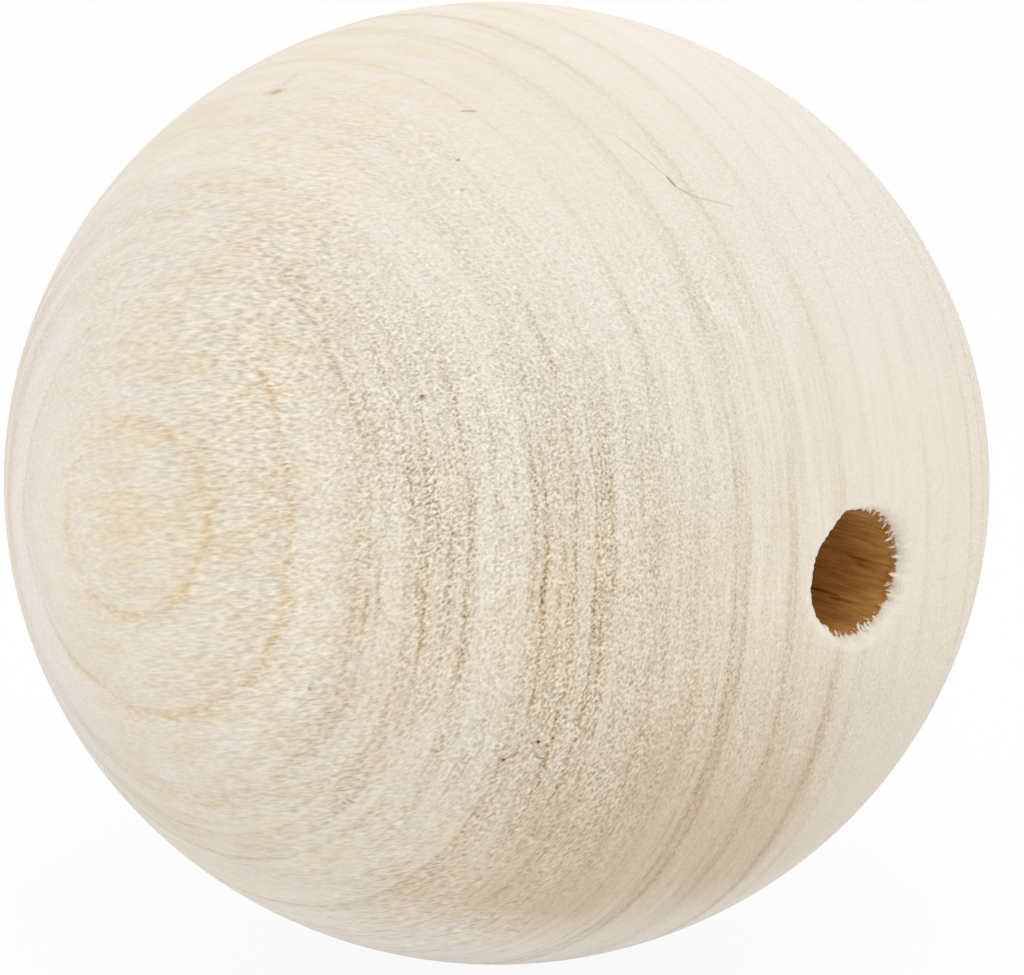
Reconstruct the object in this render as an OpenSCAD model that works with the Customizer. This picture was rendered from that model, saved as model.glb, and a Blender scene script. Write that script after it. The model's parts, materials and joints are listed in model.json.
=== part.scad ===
// A turned wooden ball with one bore drilled right through it along the grain.
// X is square to the growth rings, Y runs along the bore and the grain, and Z is up.
// The wood has shrunk since it was turned, most of all along the rings, so the ball is a
// little lower than it is wide and lies with that short way upright.
// The origin is the ball's centre, halfway along the bore.

/* [Ball] */
// Diameter along the grain and square to the growth rings
ball_d = 60; // [40:0.5:80]
// How much less than that the ball now measures along the growth rings
ring_shrinkage = 1.5; // [0:0.1:2.5]

/* [Bore] */
// Diameter of the drilled bore
bore_d = 8; // [4:0.5:14]
// Radius that rounds the edge of each mouth
mouth_r = 0.8; // [0.4:0.1:1.4]
// How far that round would stand out past the ball, which cuts it there with a faint line
mouth_line = 0.02; // [0.01:0.01:0.05]

/* [Hidden] */
$fn = 144;

ball_r = ball_d / 2;
ball_h = ball_d - ring_shrinkage;
bore_r = bore_d / 2;
// Length that runs out past the wood at both ends of a cut
cut_over = 1;

// The round's centre lies mouth_r outside the bore's wall and mouth_r inside the ball.
// round_lean is the angle from the bore's axis to the line from the ball's centre through it.
round_x = bore_r + mouth_r;
round_lean = asin(round_x / (ball_r - mouth_r));
round_y = (ball_r - mouth_r) * cos(round_lean) + mouth_line;
// Length that takes a line from the round's centre out of the wood
round_out = mouth_r + cut_over;

// The turned body: a sphere that has drawn in along Z
module turned_body() {
    scale([1, 1, ball_h / ball_d])
        sphere(r = ball_r);
}

// The straight hole, end to end
module drilled_hole() {
    rotate([90, 0, 0])
        cylinder(r = bore_r, h = ball_d + 2 * cut_over, center = true);
}

// Half section, with the bore's axis upright, of what rounding takes off a mouth: the corner
// between the wall and the ball, less the circle that the edge keeps
module mouth_section() {
    difference() {
        polygon([
            [bore_r / 2, round_y],
            [round_x, round_y],
            [round_x + round_out * sin(round_lean), round_y + round_out * cos(round_lean)],
            [bore_r / 2, round_y + round_out * cos(round_lean)]
        ]);
        translate([round_x, round_y])
            circle(r = mouth_r);
    }
}

// The rounded edge of the mouth at +Y
module rounded_mouth() {
    rotate([-90, 0, 0])
        rotate_extrude()
            mouth_section();
}

module ball() {
    color([0.90, 0.84, 0.74])
        difference() {
            turned_body();
            drilled_hole();
            for (end = [0, 1])
                mirror([0, end, 0])
                    rounded_mouth();
        }
}

ball();
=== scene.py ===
"""Dresses the wooden ball: one turned ball of pale bare wood with a drilled bore.

Lengths are in millimetres until a mesh or an object is made, and every place is in the
frame of the CAD model: the bore runs along Y, Z is up, and -X faces the eye of the rings.
"""

import json

import bpy
import numpy as np
from mathutils import Matrix, Vector


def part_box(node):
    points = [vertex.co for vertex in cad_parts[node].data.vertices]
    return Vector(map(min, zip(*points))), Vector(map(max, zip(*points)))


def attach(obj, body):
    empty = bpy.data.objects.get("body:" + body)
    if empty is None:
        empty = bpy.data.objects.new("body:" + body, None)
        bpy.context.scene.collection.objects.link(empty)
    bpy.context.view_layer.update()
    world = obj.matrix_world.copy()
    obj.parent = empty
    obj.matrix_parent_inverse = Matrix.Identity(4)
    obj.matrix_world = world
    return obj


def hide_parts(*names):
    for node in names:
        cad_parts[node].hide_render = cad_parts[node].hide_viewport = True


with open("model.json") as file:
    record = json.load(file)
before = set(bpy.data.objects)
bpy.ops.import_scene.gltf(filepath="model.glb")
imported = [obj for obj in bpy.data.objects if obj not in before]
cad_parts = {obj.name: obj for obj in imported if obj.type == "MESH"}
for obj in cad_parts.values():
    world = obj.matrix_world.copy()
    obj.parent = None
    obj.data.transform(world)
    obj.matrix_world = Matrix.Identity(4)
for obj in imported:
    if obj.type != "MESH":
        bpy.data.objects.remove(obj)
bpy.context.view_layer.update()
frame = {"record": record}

MM = 0.001

# Sizes that the frame gives
low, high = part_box("ball")
ball_r = (high.x - low.x) / 2 / MM
ball_half_h = (high.z - low.z) / 2 / MM
bore_dims = frame["record"]["mounts"][0]["dims"]
bore_r = bore_dims["r_mm"]
wall_half = bore_dims["length_mm"] / 2

# Camera: where it stands, and how far its frame is moved off the ball's centre
VIEW_AZIMUTH = -45.9
VIEW_ELEVATION = 14.8
VIEW_DISTANCE = 420.0
LENS = 242.0
SENSOR = 36.0
SHIFT = (0.01491, -0.00458)

# Mouth of the bore
MOUTH_ROUND = 0.8
# Torn wood at each mouth: which end of Y it is, the turn round the bore where the drill
# tore most, how deep its teeth reach in, the seed of its pattern, and where the lip hangs
# in as a whole, as the turn, the half width in degrees and the reach of each hang
MOUTHS = [
    (-1, -20.0, 0.34, 11, [(78, 26, 0.26), (132, 24, 0.30), (226, 20, 0.16), (-48, 18, 0.12)]),
    (1, 130.0, 0.28, 12, [(40, 25, 0.20), (200, 30, 0.15)]),
]

# Grid of the ball: columns round the bore, and rows on each stretch of the profile
COLUMNS = 336
WALL_ROWS = 60
ROUND_ROWS = 14
OUTER_ROWS = 190


def unit(vector):
    """The vector divided by its length."""
    vector = np.asarray(vector, float)
    return vector / np.linalg.norm(vector)


# How the tree grew, seen from the ball: the way out to the bark, the way up the trunk, and
# the way round it
BARKWARD = unit((-0.9988, 0.0497, 0.0041))
TRUNKWARD = unit((-0.0499, -0.9960, -0.0745))
ROUNDWARD = np.cross(BARKWARD, TRUNKWARD)
# The fibres lean a little off the trunk
FIBRE = unit((0.095, -0.971, 0.216))
# The drilled wall's streaks run along the bore with a very slight twist
BORE_STREAK = unit((0.0, 1.0, 0.03))
# Short raised flecks lean a little more off the trunk
FLECK = unit((0.13, -0.91, 0.39))


def camera_basis(azimuth, elevation):
    """Right, up and back of a camera that looks at the origin from azimuth and elevation."""
    a, e = np.radians(azimuth), np.radians(elevation)
    right = np.array([np.cos(a), np.sin(a), 0])
    back = np.array([np.sin(a) * np.cos(e), -np.cos(a) * np.cos(e), np.sin(e)])
    return right, np.cross(back, right), back


def add_camera():
    """A long lens at the photograph's angle, level, with its frame shifted to fit."""
    right, up, back = camera_basis(VIEW_AZIMUTH, VIEW_ELEVATION)
    data = bpy.data.cameras.new("view")
    data.lens = LENS
    data.sensor_width = SENSOR
    data.shift_x, data.shift_y = SHIFT
    data.clip_end = 20
    camera = bpy.data.objects.new("view", data)
    turn = Matrix(np.stack([right, up, back], 1).tolist()).to_4x4()
    camera.matrix_world = Matrix.Translation(Vector(back * VIEW_DISTANCE * MM)) @ turn
    bpy.context.scene.collection.objects.link(camera)
    bpy.context.scene.camera = camera


def add_lamp(name, place, size, power, colour=(1, 1, 1)):
    """A square soft lamp at place, in millimetres, which faces the origin."""
    data = bpy.data.lights.new(name, "AREA")
    data.size = size * MM
    data.energy = power
    data.color = colour
    lamp = bpy.data.objects.new(name, data)
    place = Vector(place) * MM
    lamp.location = place
    lamp.rotation_euler = place.to_track_quat("Z", "Y").to_euler()
    bpy.context.scene.collection.objects.link(lamp)


class Wire:
    """A number or vector that a shader tree works out.

    Arithmetic on wires adds the Math or Vector Math node that does it, so a formula in a
    material reads as a formula.
    """

    def __init__(self, tree, socket):
        self.tree = tree
        self.socket = socket

    def is_vector(self):
        return self.socket.type in ("VECTOR", "RGBA")

    def node(self, kind, inputs, **settings):
        node = self.tree.nodes.new(kind)
        for key, value in settings.items():
            setattr(node, key, value)
        for index, value in inputs.items():
            if isinstance(value, Wire):
                self.tree.links.new(value.socket, node.inputs[index])
            else:
                node.inputs[index].default_value = value
        return node

    def math(self, operation, *others):
        inputs = dict(enumerate((self,) + others))
        node = self.node("ShaderNodeMath", inputs, operation=operation)
        return Wire(self.tree, node.outputs[0])

    def vector_math(self, operation, *others):
        inputs = dict(enumerate((self,) + others))
        node = self.node("ShaderNodeVectorMath", inputs, operation=operation)
        number = operation in ("DOT_PRODUCT", "DISTANCE", "LENGTH")
        return Wire(self.tree, node.outputs["Value" if number else "Vector"])

    def work(self, operation, other):
        if self.is_vector():
            return self.vector_math(operation, other)
        return self.math(operation, other)

    def __add__(self, other):
        return self.work("ADD", other)

    def __sub__(self, other):
        return self.work("SUBTRACT", other)

    def __mul__(self, other):
        return self.work("MULTIPLY", other)

    __radd__ = __add__
    __rmul__ = __mul__

    def __rsub__(self, other):
        return self * -1 + other

    def power(self, exponent):
        return self.math("POWER", exponent)

    def root(self):
        return self.math("SQRT")

    def absolute(self):
        return self.math("ABSOLUTE")

    def least(self, other):
        return self.math("MINIMUM", other)

    def most(self, other):
        return self.math("MAXIMUM", other)

    def dot(self, vector):
        return self.vector_math("DOT_PRODUCT", tuple(vector))

    def length(self):
        return self.vector_math("LENGTH")

    def distance(self, point):
        return self.vector_math("DISTANCE", tuple(point))

    def scaled(self, number):
        node = self.node("ShaderNodeVectorMath", {0: self, 3: number}, operation="SCALE")
        return Wire(self.tree, node.outputs["Vector"])

    def step(self, start, end, to_start=0.0, to_end=1.0, kind="SMOOTHSTEP"):
        """to_start up to start, to_end from end on, and a smooth rise between them."""
        values = {0: self, 1: start, 2: end, 3: to_start, 4: to_end}
        node = self.node("ShaderNodeMapRange", values, interpolation_type=kind)
        return Wire(self.tree, node.outputs[0])

    def noise(self, scale=1.0, detail=1.0, roughness=0.5, distortion=0.0):
        """Smooth noise about zero, within about 1 either way, on this vector."""
        values = {"Vector": self, "Scale": scale, "Detail": detail}
        values.update({"Roughness": roughness, "Distortion": distortion})
        node = self.node("ShaderNodeTexNoise", values)
        return Wire(self.tree, node.outputs["Fac"]).math("MULTIPLY_ADD", 2.0, -1.0)


def join(x, y, z):
    """One vector wire of three numbers, each a wire or a plain number."""
    some = next(part for part in (x, y, z) if isinstance(part, Wire))
    node = some.node("ShaderNodeCombineXYZ", {0: x, 1: y, 2: z})
    return Wire(some.tree, node.outputs[0])


def new_group(name, inputs, outputs):
    """A shader node group, with its inputs as a dictionary of wires and its output node."""
    tree = bpy.data.node_groups.new(name, "ShaderNodeTree")
    for label, kind in inputs:
        tree.interface.new_socket(label, in_out="INPUT", socket_type="NodeSocket" + kind)
    for label, kind in outputs:
        tree.interface.new_socket(label, in_out="OUTPUT", socket_type="NodeSocket" + kind)
    entry = tree.nodes.new("NodeGroupInput")
    wires = {label: Wire(tree, entry.outputs[label]) for label, kind in inputs}
    return tree, wires, tree.nodes.new("NodeGroupOutput")


def place_group(tree, group, **inputs):
    """Places a node group in a tree and gives its outputs as a dictionary of wires."""
    node = tree.nodes.new("ShaderNodeGroup")
    node.node_tree = group
    for label, value in inputs.items():
        if isinstance(value, Wire):
            tree.links.new(value.socket, node.inputs[label])
        else:
            node.inputs[label].default_value = value
    return {socket.name: Wire(tree, socket) for socket in node.outputs}


def soft_least(wire, limit, blend):
    """The lesser of wire and limit, with the corner between them rounded over blend."""
    gap = wire - limit
    return (wire + limit - (gap * gap + blend * blend).root()) * 0.5


# Growth layers, from a fit of bent shells to the rings on the ball
SHELL_R = 85.5
TRUNK_BEND = 0.306 / 60
WAVER_START, WAVER_REACH = 2.9, 14.0


def growth_layer_group():
    """Where a point lies in the trunk.

    Depth is measured from the bark side in: ball_r less how far the point stands out from
    the pith's side, on shells of radius SHELL_R that bend along the trunk as well. Above
    WAVER_START the layers waver: they step by about a millimetre over WAVER_REACH, and the
    shallow ones a little more. Round the eye they deepen a little below and rise above.
    """
    tree, wires, out = new_group(
        "growth_layers",
        [("Point", "Vector")],
        [("Depth", "Float"), ("Along", "Float"), ("Across", "Float")],
    )
    point = wires["Point"]
    outward, along, across = point.dot(BARKWARD), point.dot(TRUNKWARD), point.dot(ROUNDWARD)
    from_pith = outward + SHELL_R
    shell = (from_pith * from_pith + across * across).root()
    depth = (shell * -1) + (30 + SHELL_R) - along * along * TRUNK_BEND
    waver = soft_least((across - WAVER_START).most(0.0), WAVER_REACH, 1.5)
    shallow = depth.step(0.0, 25.0, 1.0, 0.0, "LINEAR")
    lean = across * 0.0367 + across * across * 0.00112
    depth = depth - waver * 0.0689 - (depth - 10.0) * waver * 0.0007 - shallow * lean
    oval = (across * -0.05).most(0.0) - ((across - 8.0) * 0.04).most(0.0)
    depth = depth + depth.step(1.2, 3.2, 1.0, 0.0) * oval
    for label, wire in (("Depth", depth), ("Along", along), ("Across", across)):
        tree.links.new(wire.socket, out.inputs[label])
    return tree


# Growth rings: how deep each dark line lies, its width toward the bark and toward the pith,
# and how dark it is in the lower, the middle and the upper part of the ball
RING_LINES = [
    (1.66, 0.07, 0.09, 0.07, 0.17, 0.10),
    (3.05, 0.07, 0.08, 0.04, 0.08, 0.04),
    (3.20, 0.24, 0.32, 0.03, 0.02, 0.00),
    (3.34, 0.06, 0.07, 0.03, 0.13, 0.07),
    (3.62, 0.05, 0.07, 0.02, 0.11, 0.06),
    (4.35, 0.06, 0.10, 0.09, 0.06, 0.05),
    (4.80, 0.06, 0.08, 0.01, 0.20, 0.05),
    (5.40, 0.06, 0.10, 0.10, 0.05, 0.02),
    (6.02, 0.06, 0.07, 0.00, 0.19, 0.03),
    (8.20, 0.07, 0.11, 0.14, 0.13, 0.06),
    (8.60, 0.07, 0.10, 0.00, 0.20, 0.06),
    (9.26, 0.06, 0.07, 0.03, 0.08, 0.03),
    (9.74, 0.07, 0.09, 0.01, 0.12, 0.09),
    (10.60, 0.06, 0.07, 0.08, 0.21, 0.01),
    (10.97, 0.06, 0.09, 0.02, 0.13, 0.03),
    (11.33, 0.12, 0.08, 0.05, 0.05, 0.08),
    (12.68, 0.07, 0.08, 0.08, 0.02, 0.00),
    (13.42, 0.12, 0.12, 0.07, 0.03, 0.00),
    (13.95, 0.12, 0.10, 0.05, 0.05, 0.06),
    (14.80, 0.12, 0.12, 0.06, 0.00, 0.00),
    (15.42, 0.10, 0.12, 0.07, 0.08, 0.00),
    (15.75, 0.10, 0.12, 0.03, 0.05, 0.02),
    (16.82, 0.07, 0.07, 0.11, 0.07, 0.00),
    (17.45, 0.18, 0.20, 0.14, 0.10, 0.04),
    (18.02, 0.22, 0.18, 0.14, 0.08, 0.06),
    (20.25, 0.08, 0.10, 0.06, 0.03, 0.04),
    (20.98, 0.22, 0.25, 0.10, 0.08, 0.08),
    (21.35, 0.12, 0.15, 0.11, 0.06, 0.00),
    (22.15, 0.14, 0.14, 0.05, 0.03, 0.00),
    (24.68, 0.16, 0.16, 0.09, 0.05, 0.06),
    (24.92, 0.25, 0.28, 0.12, 0.05, 0.00),
    (26.90, 0.15, 0.15, 0.12, 0.07, 0.01),
    (27.30, 0.12, 0.20, 0.00, 0.04, 0.05),
    (30.50, 0.20, 0.25, 0.00, 0.03, 0.03),
    (33.20, 0.35, 0.35, 0.01, 0.05, 0.04),
    (36.10, 0.30, 0.40, 0.01, 0.03, 0.03),
]
# Lines past the half of the ball that the photograph shows, about a year's growth apart
FAR_LINES = [40.2, 43.3, 46.9, 50.4, 53.6, 57.2]
RING_TABLES = [(0.0, 5.0), (5.0, 12.0), (12.0, 22.0), (22.0, 60.0)]
TABLE_STEPS = 250


def ring_darkness(depths):
    """How dark the rings are at each depth, as rows for the lower, middle and upper part.

    Each line is a bell, narrower on its bark side than on its pith side.
    """
    total = np.zeros((3, len(depths)))
    lines = RING_LINES + [(depth, 0.3, 0.4, 0.07, 0.07, 0.07) for depth in FAR_LINES]
    for depth, barkside, pithside, lower, middle, upper in lines:
        off = depths - depth
        width = np.where(off < 0, barkside, pithside)
        bell = np.exp(-(off / width) ** 2)
        total += np.outer((lower, middle, upper), bell)
    return total


def looked_up(wire, start, end, places, rows):
    """Looks three curves up between two depths, as a vector for three heights.

    Places run from 0 to 1 over the stretch, and each row holds one curve's values there.
    """
    share = wire.step(start, end, 0.0, 1.0, "LINEAR")
    node = wire.node("ShaderNodeVectorCurve", {1: join(share, share, share)})
    for curve, row in zip(node.mapping.curves, rows):
        curve.points[0].location = (0.0, row[0])
        curve.points[1].location = (1.0, row[-1])
        for place, value in zip(places[1:-1], row[1:-1]):
            curve.points.new(place, value)
        for point in curve.points:
            point.handle_type = "VECTOR"
    node.mapping.update()
    return Wire(wire.tree, node.outputs[0])


def ring_table(wire, start, end):
    """The ring darkness between two depths, and nothing outside them."""
    places = np.linspace(0.0, 1.0, TABLE_STEPS)
    rows = ring_darkness(start + places * (end - start))
    inside = wire.math("GREATER_THAN", start) * wire.math("LESS_THAN", end)
    return looked_up(wire, start, end, places, rows).scaled(inside)


# How tan the wood is at each depth, in the lower, the middle and the upper part of the ball. Past
# about 18 mm the middle part is kept low in tan, partly as painted light that makes the ball's right
# side paler
TAN_BANDS = [
    (0.0, 0.00, 0.00, 0.32),
    (1.0, 0.02, 0.02, 0.32),
    (1.1, 0.18, 0.32, 0.37),
    (1.35, 0.18, 0.32, 0.37),
    (1.48, 0.00, 0.00, 0.25),
    (1.9, 0.04, 0.04, 0.29),
    (2.6, 0.08, 0.08, 0.29),
    (2.9, 0.18, 0.43, 0.34),
    (3.5, 0.20, 0.45, 0.35),
    (3.75, 0.16, 0.27, 0.32),
    (4.15, 0.18, 0.27, 0.33),
    (4.35, 0.30, 0.55, 0.37),
    (4.95, 0.26, 0.55, 0.37),
    (5.15, 0.20, 0.37, 0.35),
    (5.6, 0.22, 0.43, 0.33),
    (6.1, 0.20, 0.41, 0.32),
    (6.35, 0.24, 0.20, 0.17),
    (7.9, 0.38, 0.20, 0.17),
    (8.2, 0.60, 0.53, 0.24),
    (8.8, 0.62, 0.65, 0.30),
    (9.1, 0.59, 0.43, 0.27),
    (9.35, 0.59, 0.47, 0.27),
    (9.6, 0.73, 0.65, 0.29),
    (9.95, 0.75, 0.65, 0.28),
    (10.2, 0.77, 0.45, 0.25),
    (10.5, 0.83, 0.47, 0.24),
    (10.8, 0.87, 0.59, 0.24),
    (11.4, 0.91, 0.61, 0.24),
    (11.8, 0.85, 0.34, 0.18),
    (12.5, 0.79, 0.34, 0.17),
    (13.2, 0.89, 0.38, 0.16),
    (14.0, 1.00, 0.40, 0.25),
    (14.9, 1.00, 0.34, 0.18),
    (15.6, 1.16, 0.36, 0.18),
    (16.5, 0.98, 0.28, 0.18),
    (17.1, 1.00, 0.22, 0.18),
    (17.5, 1.18, 0.36, 0.24),
    (18.1, 1.18, 0.38, 0.28),
    (18.5, 0.96, 0.19, 0.18),
    (19.9, 0.92, 0.17, 0.16),
    (20.8, 1.14, 0.31, 0.26),
    (21.4, 1.16, 0.29, 0.20),
    (21.9, 1.04, 0.21, 0.14),
    (23.2, 0.84, 0.13, 0.12),
    (24.6, 1.04, 0.25, 0.20),
    (25.1, 1.02, 0.19, 0.14),
    (25.6, 0.66, 0.11, 0.10),
    (28.0, 0.46, 0.10, 0.06),
    (32.0, 0.30, 0.07, 0.06),
    (60.0, 0.20, 0.09, 0.06),
]


def tan_table(wire):
    """How tan the wood is at a depth, as a vector of three heights."""
    depths, *rows = np.transpose(TAN_BANDS)
    return looked_up(wire, 0.0, depths[-1], depths / depths[-1], rows)


def drawn_out(point, direction, share):
    """The point with its reach along direction cut to that share, so that a pattern on it
    is drawn out that way."""
    reach = point.dot(direction * (1.0 - share))
    node = reach.node("ShaderNodeVectorMath", {0: tuple(direction), 3: reach}, operation="SCALE")
    return point - Wire(reach.tree, node.outputs["Vector"])


# The innermost ring of the eye: the middle of its oval and its two half axes, with their
# directions, as places on the ball
EYE_MIDDLE = BARKWARD * 30 + TRUNKWARD * 0.33 + ROUNDWARD * 3.06
EYE_TURN = -1.05
EYE_SHORT = (TRUNKWARD * np.cos(EYE_TURN) + ROUNDWARD * np.sin(EYE_TURN)) / 5.51
EYE_LONG = (ROUNDWARD * np.cos(EYE_TURN) - TRUNKWARD * np.sin(EYE_TURN)) / 6.14


def eye_reach(point):
    """How far a point is from the middle of the eye, as a share of the oval's reach there."""
    short = point.dot(EYE_SHORT) - float(EYE_MIDDLE @ EYE_SHORT)
    long = point.dot(EYE_LONG) - float(EYE_MIDDLE @ EYE_LONG)
    return (short * short + long * long).root()


def grain_and_painted_light_group(layers):
    """The wood's grain, with painted light and shade laid into it: how much darker or paler each
    point is than plain wood, how tan and how golden the wood is there, and the relief of the surface."""
    tree, wires, out = new_group(
        "wood_grain",
        [("Point", "Vector")],
        [("Shade", "Float"), ("Tan", "Float"), ("Gold", "Float"), ("Relief", "Float")],
    )
    point = wires["Point"]
    placed = place_group(tree, layers, Point=point)
    depth, along, across = placed["Depth"], placed["Along"], placed["Across"]
    outward = point.vector_math("NORMALIZE")
    height = outward.dot((0, 0, 1))
    # From 0 where the surface runs along the fibres to 1 where it cuts them across
    lean = outward.dot(FIBRE)
    end_grain = lean.absolute()

    # Streaks along the fibres, and short flecks where the surface cuts across them
    on_fibre = drawn_out(point, FIBRE, 0.19)
    streak = on_fibre.noise(6.0, 1.0, 0.5)
    fleck = drawn_out(drawn_out(point, FLECK, 0.34), ROUNDWARD, 0.72).noise(7.6, 1.0, 0.5)
    high = height + end_grain * 0.6
    fleck_share = end_grain.step(0.22, 0.50) * high.step(0.75, 1.15, 1.0, 0.1)
    fine = streak * (1.0 - fleck_share) + fleck * fleck_share

    # The fine figure is weak high and low on the ball, on the end grain and far round
    deep = outward.dot(BARKWARD).step(0.33, 0.48, 1.0, 0.0)
    high_fade = height.step(0.30, 0.95, 1.0, 0.35) - height.step(0.55, 0.70, 0.0, 0.2) * deep
    low_fade = height.step(-0.65, -0.20, 0.65, 1.0) - height.step(-0.40, 0.0, 0.42, 0.0) * deep
    end_fade = end_grain.step(0.80, 1.02, 1.0, 0.2)
    side_fade = lean.step(-0.28, 0.46, 0.35, 1.0)
    fine_strength = high_fade * low_fade * end_fade * side_fade

    # Rings, a little ragged where flecks cross them, which die away above the eye
    wander = depth + point.noise(0.35, 0.0) * 0.06
    ragged = wander + fine * 0.055
    tables = [ring_table(ragged, start, end) for start, end in RING_TABLES]
    lines = tables[0] + tables[1] + tables[2] + tables[3]
    upper = across.step(0.0, 20.0)
    lower = across.step(-14.0, 2.0, 1.0, 0.0)
    zones = join(lower, 1.0 - upper - lower, upper)
    rings = lines.vector_math("DOT_PRODUCT", zones)
    patchy = join(depth * 1.7, along * 0.16, across * 0.16).noise(1.0, 1.0, 0.6)
    uneven = patchy.step(-0.45, 0.35, 0.6, 1.35) * fine.step(-0.45, 0.45, 1.4, 0.6)
    above_eye = across.step(9.0, 14.0, 0.0, 0.75) * along.step(2.0, 9.0, 1.0, 0.0)
    rings = rings * (1.0 - above_eye * depth.step(9.0, 14.0, 1.0, 0.0)) * uneven
    rings = rings * (1.0 - along.step(-11.0, -4.0, 0.6, 0.0) * depth.step(2.5, 5.0, 1.0, 0.0))
    rings = rings * (1.0 - across.step(15.0, 21.0, 0.0, 0.7) * depth.step(11.5, 14.5, 1.0, 0.0))

    # The eye's innermost ring, an oval that fades toward the ball's far side
    reach = eye_reach(point) + streak * 0.05
    in_eye = reach.step(1.2, 2.6, 1.0, 0.0) * outward.dot(BARKWARD).step(0.0, 0.5)
    eye_ring = (reach - 1.0).absolute().step(0.0, 0.12, 1.0, 0.0) * in_eye
    eye_ring = eye_ring * uneven * along.step(-5.0, 0.0, 0.5, 1.0)

    # Layers between the rings, from a hair to two millimetres thick, which gather the
    # flecks in rows
    layer_place = join((wander + fine * 0.02) * 2.5, along * 0.10, across * 0.10)
    layer_streak = layer_place.noise(1.0, 2.0, 0.8)
    layered = depth.step(2.2, 4.2) * depth.step(21.0, 27.0, 1.0, 0.0)
    layer_strength = (layered * 0.75 + 0.25) * high_fade * low_fade
    layer_strength = layer_strength * height.step(0.30, 0.90, 1.0, 0.55)

    # Broad soft bands of tan wood, cloudy; toward the foot of the ball they fade out, as painted
    # light from below
    blotch = point.noise(0.12, 0.0)
    bands = tan_table(ragged).vector_math("DOT_PRODUCT", zones)
    tan = bands * across.step(-25.5, -17.0, 0.05, 1.0)
    tan = tan * (1.0 + patchy * 0.35 + blotch * 0.3) - layer_streak * layer_strength * 0.38

    broad = on_fibre.noise(1.1, 0.0) * 0.9
    rows = (1.0 - layer_streak * layered * 1.25) * bands.step(0.10, 0.75, 0.66, 1.22)
    rows = rows * zones.dot((1.0, 1.0, 1.25))
    fine_relief = fine * fine_strength * rows
    side_grain = end_grain.step(0.25, 0.55, 1.0, 0.0)
    eye_gold = depth.step(1.9, 3.0, 1.0, 0.15) * side_grain
    shade = rings * (eye_gold * 0.45 - 1.0) - eye_ring * 0.04
    shade = shade + fine_relief * depth.step(3.0, 16.0, 0.68, 0.54)
    shade = shade + layer_streak * layer_strength * 0.10 + blotch * 0.02
    # Painted light and shade: past the eye, the middle of the ball is made paler and its lower and
    # upper parts a little darker
    shade = shade + zones.dot((-0.02, 0.045, -0.015)) * depth.step(0.8, 2.4)
    # Painted light from below: the foot of the ball is made paler
    shade = shade + across.step(-24.0, -17.0, 0.09, 0.0)
    gold = rings * (eye_gold * 10.0 + 2.0) + eye_ring * 1.35 + in_eye * reach.step(0.1, 0.6, 0.9, 0.1)
    # Less golden high and low and more round the middle: partly the wood's own tone, partly painted
    # sheen on the top and painted light at the foot
    gold = gold + side_grain * (broad * 1.6 + 0.35) + zones.dot((-0.3, 0.5, -0.4))
    away = along.step(-10.0, -1.0, 1.0, 0.0)
    # Its first term makes the foot less golden, as painted light from below
    gold = gold - across.step(-25.0, -15.0, 1.1, 0.0) - away * depth.step(3.0, 10.0, 1.0, 0.0)
    relief = fine * fine_strength
    outputs = {"Shade": shade, "Tan": tan, "Gold": gold, "Relief": relief}
    for label, wire in outputs.items():
        tree.links.new(wire.socket, out.inputs[label])
    return tree


# Marks on the skin: the ends of each as places on the ball, its half width and how dark
MARKS = [
    ((-19.06, -21.76, -7.73), (-19.06, -21.76, -7.73), 0.15, 0.80),
    ((-20.27, -20.15, -8.89), (-20.27, -20.15, -8.89), 0.13, 0.70),
    ((-20.27, -20.15, -8.89), (-19.69, -20.94, -8.36), 0.09, 0.35),
    ((-18.98, -21.45, -8.71), (-18.51, -21.79, -8.86), 0.09, 0.38),
    ((-22.31, -15.71, 12.16), (-22.31, -15.71, 12.16), 0.19, 0.65),
    ((-27.24, -11.49, -4.94), (-27.24, -11.49, -4.94), 0.14, 0.60),
    ((-4.84, -18.34, 22.66), (-4.76, -19.06, 22.11), 0.10, 0.45),
    ((-8.91, -10.52, 25.98), (-5.63, -15.02, 24.72), 0.10, 0.12),
    ((-5.63, -15.02, 24.72), (-4.84, -18.34, 22.66), 0.10, 0.14),
    ((-4.76, -19.06, 22.11), (-4.05, -19.90, 21.53), 0.10, 0.20),
    ((-4.05, -19.90, 21.53), (-1.86, -21.04, 20.77), 0.10, 0.15),
    ((-11.29, -7.97, 25.96), (-10.66, -8.73, 25.98), 0.10, 0.30),
    ((-13.73, 5.98, 25.34), (-13.49, 4.27, 25.79), 0.42, 0.10),
    ((-13.70, 5.20, 25.55), (-13.62, 4.70, 25.68), 0.30, 0.20),
    ((-12.98, 5.05, 25.91), (-11.86, 5.09, 26.40), 0.45, 0.08),
    ((-13.95, -10.40, 23.83), (-13.95, -10.40, 23.83), 0.14, 0.42),
    ((-15.11, -11.87, 22.46), (-15.11, -11.87, 22.46), 0.13, 0.34),
    ((-24.69, -11.71, -12.08), (-24.35, -12.18, -12.29), 0.12, 0.25),
    ((-24.61, -11.54, -12.37), (-24.61, -11.54, -12.37), 0.12, 0.35),
    ((-13.81, -14.06, -22.05), (-12.82, -14.43, -22.39), 0.10, 0.25),
    ((-6.96, -23.55, 16.80), (-5.97, -25.39, 14.46), 0.60, -0.05),
]


def all_marks(point, marks):
    """The darkness of every mark in a list together.

    A mark is an ellipse with its ends as foci: its darkness falls away as the sum of the
    point's distances to them passes the mark's reach.
    """
    total = None
    for start, end, width, dark in marks:
        length = float(np.linalg.norm(np.subtract(end, start)))
        reach = np.sqrt(length ** 2 + 4 * width ** 2)
        both = point.distance(start) + point.distance(end)
        inner = length + (reach - length) * 0.2
        outer = length + (reach - length) * 1.4
        mark = both.step(inner, outer, dark, 0.0)
        total = mark if total is None else total + mark
    return total


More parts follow.
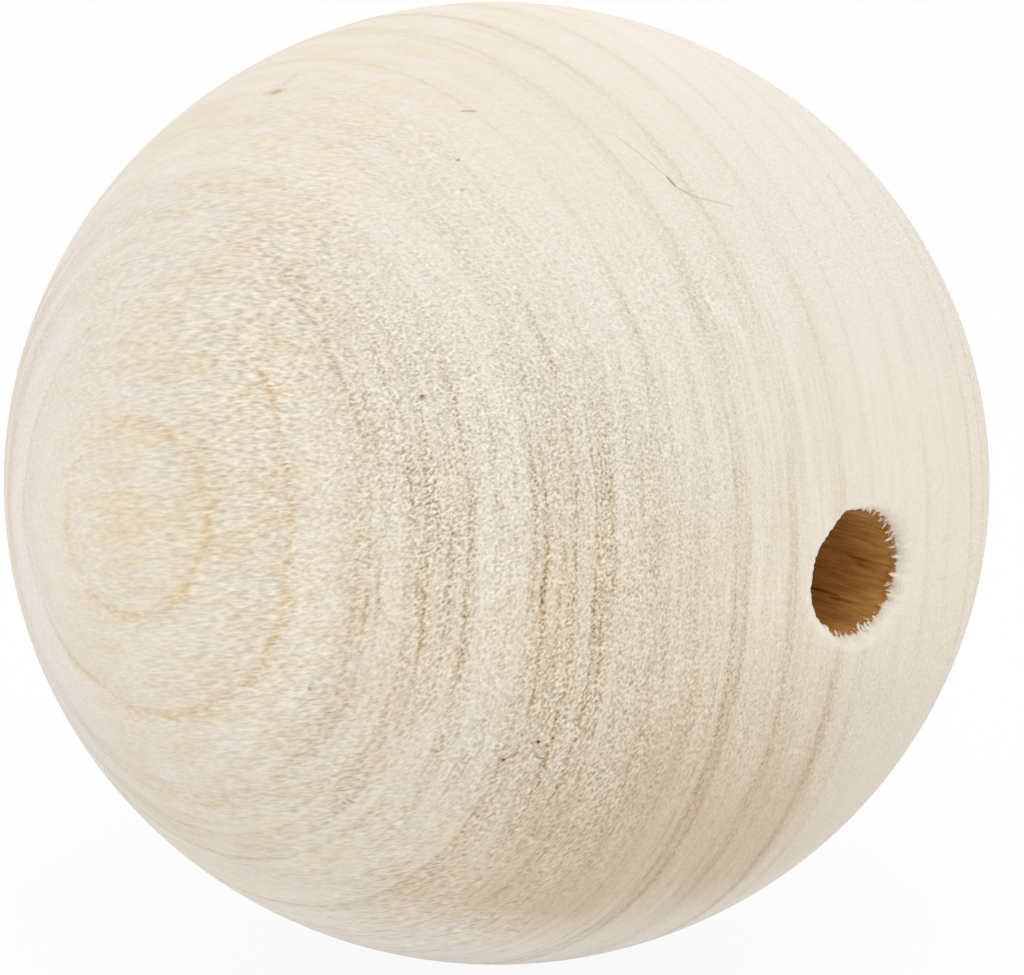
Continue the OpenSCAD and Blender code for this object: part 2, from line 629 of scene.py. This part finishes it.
def new_material(name):
    """An empty material with its tree, output and Principled BSDF."""
    material = bpy.data.materials.new(name)
    material.use_nodes = True
    tree = material.node_tree
    tree.nodes.clear()
    shader = tree.nodes.new("ShaderNodeBsdfPrincipled")
    output = tree.nodes.new("ShaderNodeOutputMaterial")
    tree.links.new(shader.outputs[0], output.inputs["Surface"])
    return material, tree, shader


def object_point(tree):
    """The place on the object in millimetres, as a wire."""
    node = tree.nodes.new("ShaderNodeTexCoord")
    return Wire(tree, node.outputs["Object"]).scaled(1 / MM)


def tinted(base, shade, gold):
    """Base colour made paler or darker by shade, where blue moves more than red does."""
    axis = join(shade, shade, shade) * (1.0, 1.14, 1.375)
    warm = join(gold, gold, gold) * (0.0, -0.036, -0.10)
    return (axis + warm + (1.0, 1.0, 1.0)) * base


def add_bump(tree, shader, height, distance):
    """Feeds a height, in units of distance millimetres, to the shader as a bump."""
    node = tree.nodes.new("ShaderNodeBump")
    node.inputs["Distance"].default_value = distance * MM
    tree.links.new(height.socket, node.inputs["Height"])
    tree.links.new(node.outputs["Normal"], shader.inputs["Normal"])


PALE_WOOD = (0.838, 0.766, 0.655)
TAN_WOOD = (0.665, 0.537, 0.392)
RIM_WOOD = (0.91, 0.87, 0.79)
WALL_WOOD = (0.65, 0.355, 0.095)


def mixed(share, first, second):
    """The first colour where share is 0 and the second where it is 1."""
    first, second = (
        colour if isinstance(colour, Wire) else tuple(colour) + (1.0,)
        for colour in (first, second)
    )
    node = share.node("ShaderNodeMix", {0: share, 6: first, 7: second}, data_type="RGBA")
    return Wire(share.tree, node.outputs[2])


def turned_wood(grain_and_light):
    """The outside: bare sanded wood, and the paler burnished rim round each mouth."""
    material, tree, shader = new_material("turned_wood")
    point = object_point(tree)
    # The grain group brings painted light and shade along with the wood's own tone and rings
    figure_and_light = place_group(tree, grain_and_light, Point=point)
    from_bore = (point * (1.0, 0.0, 1.0)).length()
    rim_edge = from_bore + point.dot((0.05, 0.0, -0.02)) + point.noise(1.6, 1.0, 0.6) * 0.7
    rim = rim_edge.step(3.9, 4.8, 0.8, 0.0)
    marks = all_marks(point, MARKS) * (figure_and_light["Relief"] * 2.0 + 1.0)
    shade = figure_and_light["Shade"] - marks
    wood = mixed(figure_and_light["Tan"], PALE_WOOD, TAN_WOOD)
    wood = mixed(rim, tinted(wood, shade, figure_and_light["Gold"]), RIM_WOOD)
    tree.links.new(wood.socket, shader.inputs["Base Color"])
    shader.inputs["Roughness"].default_value = 0.62
    shader.inputs["Specular IOR Level"].default_value = 0.35
    add_bump(tree, shader, figure_and_light["Relief"], 0.063)
    return material


# A dark tear in the bore's wall, in two strokes: their ends, half width and how dark
TEARS = [
    ((2.92, -22.90, -2.73), (2.88, -25.38, -2.78), 0.10, 0.55),
    ((2.71, -24.67, -2.94), (2.73, -26.68, -2.92), 0.12, 0.32),
]


def bore_wood():
    """The drilled wall: scorched brown wood, streaked along the bore, pale at its mouths."""
    material, tree, shader = new_material("bore_wood")
    point = object_point(tree)
    streak = drawn_out(point, BORE_STREAK, 0.10).noise(3.6, 3.0, 0.75)
    broad = drawn_out(point, BORE_STREAK, 0.30).noise(0.6, 1.0, 0.5)
    mouth = point.dot((0, 1, 0)).absolute()
    ragged = mouth + (point * (1.0, 0.25, 1.0)).noise(3.2, 2.0) * 0.7
    pale = ragged.step(wall_half - 0.15, wall_half + 0.05)
    shade = streak * 0.75 + broad * 0.3 - all_marks(point, TEARS)
    wood = tinted(WALL_WOOD, shade, broad * -1.5)
    wood = mixed(pale, wood, RIM_WOOD)
    tree.links.new(wood.socket, shader.inputs["Base Color"])
    shader.inputs["Roughness"].default_value = 0.7
    add_bump(tree, shader, streak, 0.06)
    return material


def white_floor():
    """White board, lit from below as well: a camera sees it white, with the ball's soft
    shadow just showing."""
    material, tree, shader = new_material("white_board")
    shader.inputs["Base Color"].default_value = (0.9, 0.9, 0.9, 1.0)
    shader.inputs["Roughness"].default_value = 0.9
    glow = tree.nodes.new("ShaderNodeEmission")
    path = tree.nodes.new("ShaderNodeLightPath")
    mix = tree.nodes.new("ShaderNodeMixShader")
    seen = Wire(tree, path.outputs["Is Camera Ray"]) * 0.6 + 0.3
    tree.links.new(seen.socket, mix.inputs[0])
    tree.links.new(shader.outputs[0], mix.inputs[1])
    tree.links.new(glow.outputs[0], mix.inputs[2])
    output = next(node for node in tree.nodes if node.type == "OUTPUT_MATERIAL")
    tree.links.new(mix.outputs[0], output.inputs["Surface"])
    return material


def set_world(level, behind):
    """White light all round, stronger by the given share from behind the ball than from the
    camera's side, and plain white to the camera."""
    world = bpy.data.worlds.new("studio")
    world.use_nodes = True
    tree = world.node_tree
    tree.nodes.clear()
    path = tree.nodes.new("ShaderNodeLightPath")
    place = tree.nodes.new("ShaderNodeTexCoord")
    sky = tree.nodes.new("ShaderNodeBackground")
    output = tree.nodes.new("ShaderNodeOutputWorld")
    back = camera_basis(VIEW_AZIMUTH, VIEW_ELEVATION)[2]
    light = Wire(tree, place.outputs["Generated"]).dot(back * -behind) + level
    seen = Wire(tree, path.outputs["Is Camera Ray"])
    strength = light + seen * (1.0 - light)
    tree.links.new(strength.socket, sky.inputs["Strength"])
    tree.links.new(sky.outputs[0], output.inputs[0])
    bpy.context.scene.world = world


def outside_r(sine, cosine, turn):
    """How far the ball's skin is from the centre, in the direction that leans from the bore
    by an angle with that sine and cosine, at the angle turn round the bore."""
    flat = (sine * np.cos(turn)) ** 2 + cosine ** 2
    upright = (sine * np.sin(turn)) ** 2
    return 1 / np.sqrt(flat / ball_r ** 2 + upright / ball_half_h ** 2)


def ball_profile(turn):
    """Distance from the bore's axis and place along it, for each row and column.

    The rows run up the bore's wall, round the mouth at +Y, over the skin and round the
    mouth at -Y, so the grid closes on itself both ways. The mouth's round is an arc that
    leaves the wall straight and meets the skin where their directions agree.
    """
    round_r = bore_r + MOUTH_ROUND
    lean = np.arcsin(round_r / (ball_r - MOUTH_ROUND))
    meet = np.arcsin((round_r + MOUTH_ROUND * np.sin(lean)) / ball_r)
    skin_lean = np.linspace(-1, 1, OUTER_ROWS)
    skin_lean = np.pi / 2 + (np.pi / 2 - meet) * (0.75 * skin_lean + 0.25 * skin_lean ** 3)
    skin_lean = skin_lean[:, None]
    skin = outside_r(np.sin(skin_lean), np.cos(skin_lean), turn)
    skin_out, skin_y = skin * np.sin(skin_lean), skin * np.cos(skin_lean)

    arc = np.linspace(-np.pi / 2, lean, ROUND_ROWS, endpoint=False)[:, None]
    centre_y = skin_y[0] - MOUTH_ROUND * np.cos(lean)
    arc_out = round_r + MOUTH_ROUND * np.sin(arc) + 0 * turn
    arc_y = centre_y + MOUTH_ROUND * np.cos(arc)

    wall = np.linspace(-1, 1, WALL_ROWS + 2)[1:-1, None]
    wall_y = np.sin(wall * np.pi / 2) * 0.88 + wall * 0.12
    wall_y = wall_y * centre_y
    wall_out = bore_r + 0 * wall_y
    out = np.concatenate([wall_out, arc_out, skin_out, arc_out[::-1]])
    y = np.concatenate([wall_y, arc_y, skin_y, -arc_y[::-1]])
    return out, y


def grid_faces(rows, columns):
    """Quads of a grid that closes on itself both ways, with their normals out."""
    row, column = np.meshgrid(np.arange(rows), np.arange(columns), indexing="ij")
    next_row, next_column = (row + 1) % rows, (column + 1) % columns
    corners = [(row, column), (row, next_column), (next_row, next_column), (next_row, column)]
    return np.stack([r * columns + c for r, c in corners], -1).reshape(-1, 4)


def add_piece(name, points, faces, materials, of_material=None):
    """A smooth mesh object in metres from points in millimetres."""
    mesh = bpy.data.meshes.new(name)
    mesh.from_pydata((points * MM).tolist(), [], faces.tolist())
    for material in materials:
        mesh.materials.append(material)
    if of_material is not None:
        mesh.polygons.foreach_set("material_index", of_material.astype(np.int32))
    mesh.polygons.foreach_set("use_smooth", np.ones(len(faces), bool))
    mesh.update()
    piece = bpy.data.objects.new(name, mesh)
    bpy.context.scene.collection.objects.link(piece)
    return piece


def waves(turn, low, high, rng):
    """Rough noise of about unit size round a circle: the sum of 24 sine waves, each of a
    whole number of turns between low and high."""
    counts = rng.integers(low, high, 24)
    starts = rng.uniform(0, 2 * np.pi, 24)
    return np.sin(np.multiply.outer(turn, counts) + starts).sum(-1) / np.sqrt(12)


def torn_share(turn, worst):
    """1 where the mouth is torn most, falling to 0 on its clean side."""
    return 0.5 + 0.5 * np.tanh(2.2 * np.cos(turn - np.radians(worst)) + 0.9)


def hanging_lip(turn, hangs, rng):
    """How far the lip of a mouth hangs in: a bell for each hang, and fine unevenness."""
    lip = 0.04 * waves(turn, 3, 14, rng) + 0.032 * waves(turn, 20, 80, rng)
    for middle, half, reach in hangs:
        off = np.angle(np.exp(1j * (turn - np.radians(middle))))
        lip = lip + reach * np.exp(-(off / np.radians(half)) ** 2)
    return lip


def torn_edge(turn, y):
    """How far the torn wood stands in from the bore's wall.

    The lip hangs in over the whole round of the mouth, a low ragged burr runs along the
    wall's end, and on the torn side sharp teeth stand on it.
    """
    inward = np.zeros_like(y)
    for end, worst, reach, seed, hangs in MOUTHS:
        rng = np.random.default_rng(seed)
        burr = 0.03 + 0.03 * waves(turn, 3, 40, rng)
        teeth = np.clip(waves(turn, 24, 70, rng) - 0.3, 0, 2.2) ** 1.3 * reach * 0.6
        edge = burr + teeth * torn_share(turn, worst)
        from_edge = end * y - (wall_half - 0.1)
        inward += edge * np.exp(-(from_edge / np.where(from_edge > 0, 0.24, 0.34)) ** 2)
        inward += hanging_lip(turn, hangs, rng) * np.exp(-((from_edge - 0.35) / 0.55) ** 2)
    return inward


def turned_ball(outside, wall):
    """The ball itself, as one closed grid round the bore."""
    turn = np.arange(COLUMNS) * 2 * np.pi / COLUMNS
    out, y = ball_profile(turn)
    y = y + 0 * out
    out = out - torn_edge(turn, y)
    points = np.stack([out * np.cos(turn), y, out * np.sin(turn)], -1)
    rows = len(out)
    faces = grid_faces(rows, COLUMNS)
    row_of_face = np.repeat(np.arange(rows), COLUMNS)
    on_wall = (row_of_face < WALL_ROWS) | (row_of_face == rows - 1)
    return add_piece("turned_ball", points.reshape(-1, 3), faces, [outside, wall], on_wall)


SLIVERS = 80
SLIVER_STATIONS = 5


def torn_fibres(material):
    """Loose ends of torn fibre round both mouths.

    Each is a spike with a flat four-cornered section that shrinks to a point along it,
    while its path leaves the edge of the mouth and bends sideways with the square of the
    way. All of them are worked out together as arrays over mouth, sliver and station.
    """
    parts = []
    for end, worst, reach, seed, hangs in MOUTHS:
        rng = np.random.default_rng(seed + 100)
        turn = rng.uniform(0, 2 * np.pi, 4 * SLIVERS)
        kept = rng.uniform(0, 1, len(turn)) < torn_share(turn, worst) ** 1.5 + 0.06
        turn = turn[kept][:SLIVERS]
        count = len(turn)
        size = torn_share(turn, worst) * 0.7 + 0.3
        length = size * rng.uniform(0.20, 0.66, count)
        width = rng.uniform(0.07, 0.19, count)
        radial = np.stack([np.cos(turn), 0 * turn, np.sin(turn)], -1)
        round_it = np.stack([-np.sin(turn), 0 * turn, np.cos(turn)], -1)
        down = np.array([0.0, -end, 0.0])
        root_y = wall_half + rng.uniform(-0.40, 0.25, count)
        root_r = bore_r + 0.10 + np.clip(root_y - wall_half, 0, 1) * 0.3
        root = radial * root_r[:, None] - down * root_y[:, None]
        way = -radial * rng.uniform(0.45, 1.0, (count, 1)) + down * rng.uniform(0.1, 0.7, (count, 1))
        way = way + round_it * rng.normal(-0.2, 0.22, (count, 1))
        way = way / np.linalg.norm(way, axis=1, keepdims=True)
        side = np.cross(way, radial + 0.3 * down)
        side = side / np.linalg.norm(side, axis=1, keepdims=True)
        thick = np.cross(way, side)
        bend = rng.normal(0, 0.25, (count, 1))
        t = np.linspace(0, 1, SLIVER_STATIONS)[None, :, None]
        run = length[:, None, None]
        path = root[:, None] + way[:, None] * run * t + (side * bend)[:, None] * run * t ** 2
        half = width[:, None, None] * (1 - 0.93 * t) ** 0.8
        corners = [side[:, None] * half * a + thick[:, None] * half * 0.5 * b
                   for a, b in ((-1, -1), (1, -1), (1, 1), (-1, 1))]
        parts.append(np.stack([path + corner for corner in corners], 2))
    points = np.concatenate(parts)
    count = len(points)
    first = np.arange(count)[:, None, None] * SLIVER_STATIONS * 4
    station = np.arange(SLIVER_STATIONS - 1)[None, :, None] * 4
    corner = np.arange(4)[None, None, :]
    following = (corner + 1) % 4
    here, there = first + station, first + station + 4
    sides = np.stack([here + corner, here + following, there + following, there + corner], -1)
    root_caps = first[:, 0] + np.array([3, 2, 1, 0])
    tip_caps = first[:, 0] + (SLIVER_STATIONS - 1) * 4 + np.array([0, 1, 2, 3])
    faces = np.concatenate([sides.reshape(-1, 4), root_caps, tip_caps])
    return add_piece("torn_fibres", points.reshape(-1, 3), faces, [material])


def fibre_wood():
    """Torn fibre: pale at its ends, more golden toward the wall it was torn from, partly the wood's
    colour and partly painted shade where the fibre meets the wall.
    """
    material, tree, shader = new_material("fibre_wood")
    point = object_point(tree)
    from_bore = (point * (1.0, 0.0, 1.0)).length()
    # Golden toward the roots: partly the wood's colour, partly painted shade at the wall
    gold = from_bore.step(3.4, 4.1) * 0.6 + point.noise(2.5, 1.0) * 0.5
    wood = mixed(gold.most(0.0).least(1.0), RIM_WOOD, (0.80, 0.62, 0.38))
    tree.links.new(wood.socket, shader.inputs["Base Color"])
    shader.inputs["Roughness"].default_value = 0.6
    return material


add_camera()
set_world(1.13, 0.19)
add_lamp("top_light", (-120, -160, 600), 500, 1.15)

layers = growth_layer_group()
grain_and_light = grain_and_painted_light_group(layers)
outside = turned_wood(grain_and_light)
wall = bore_wood()

ball = turned_ball(outside, wall)
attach(ball, "root")
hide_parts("ball")

fibres = torn_fibres(fibre_wood())
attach(fibres, "root")

FLOOR_HALF = 3000.0
floor_corners = np.array([(-1, -1, 0), (1, -1, 0), (1, 1, 0), (-1, 1, 0)]) * FLOOR_HALF
floor_corners = floor_corners - (0, 0, ball_half_h)
floor = add_piece("floor", floor_corners, np.array([[0, 1, 2, 3]]), [white_floor()])

bpy.context.scene.view_settings.view_transform = "Standard"
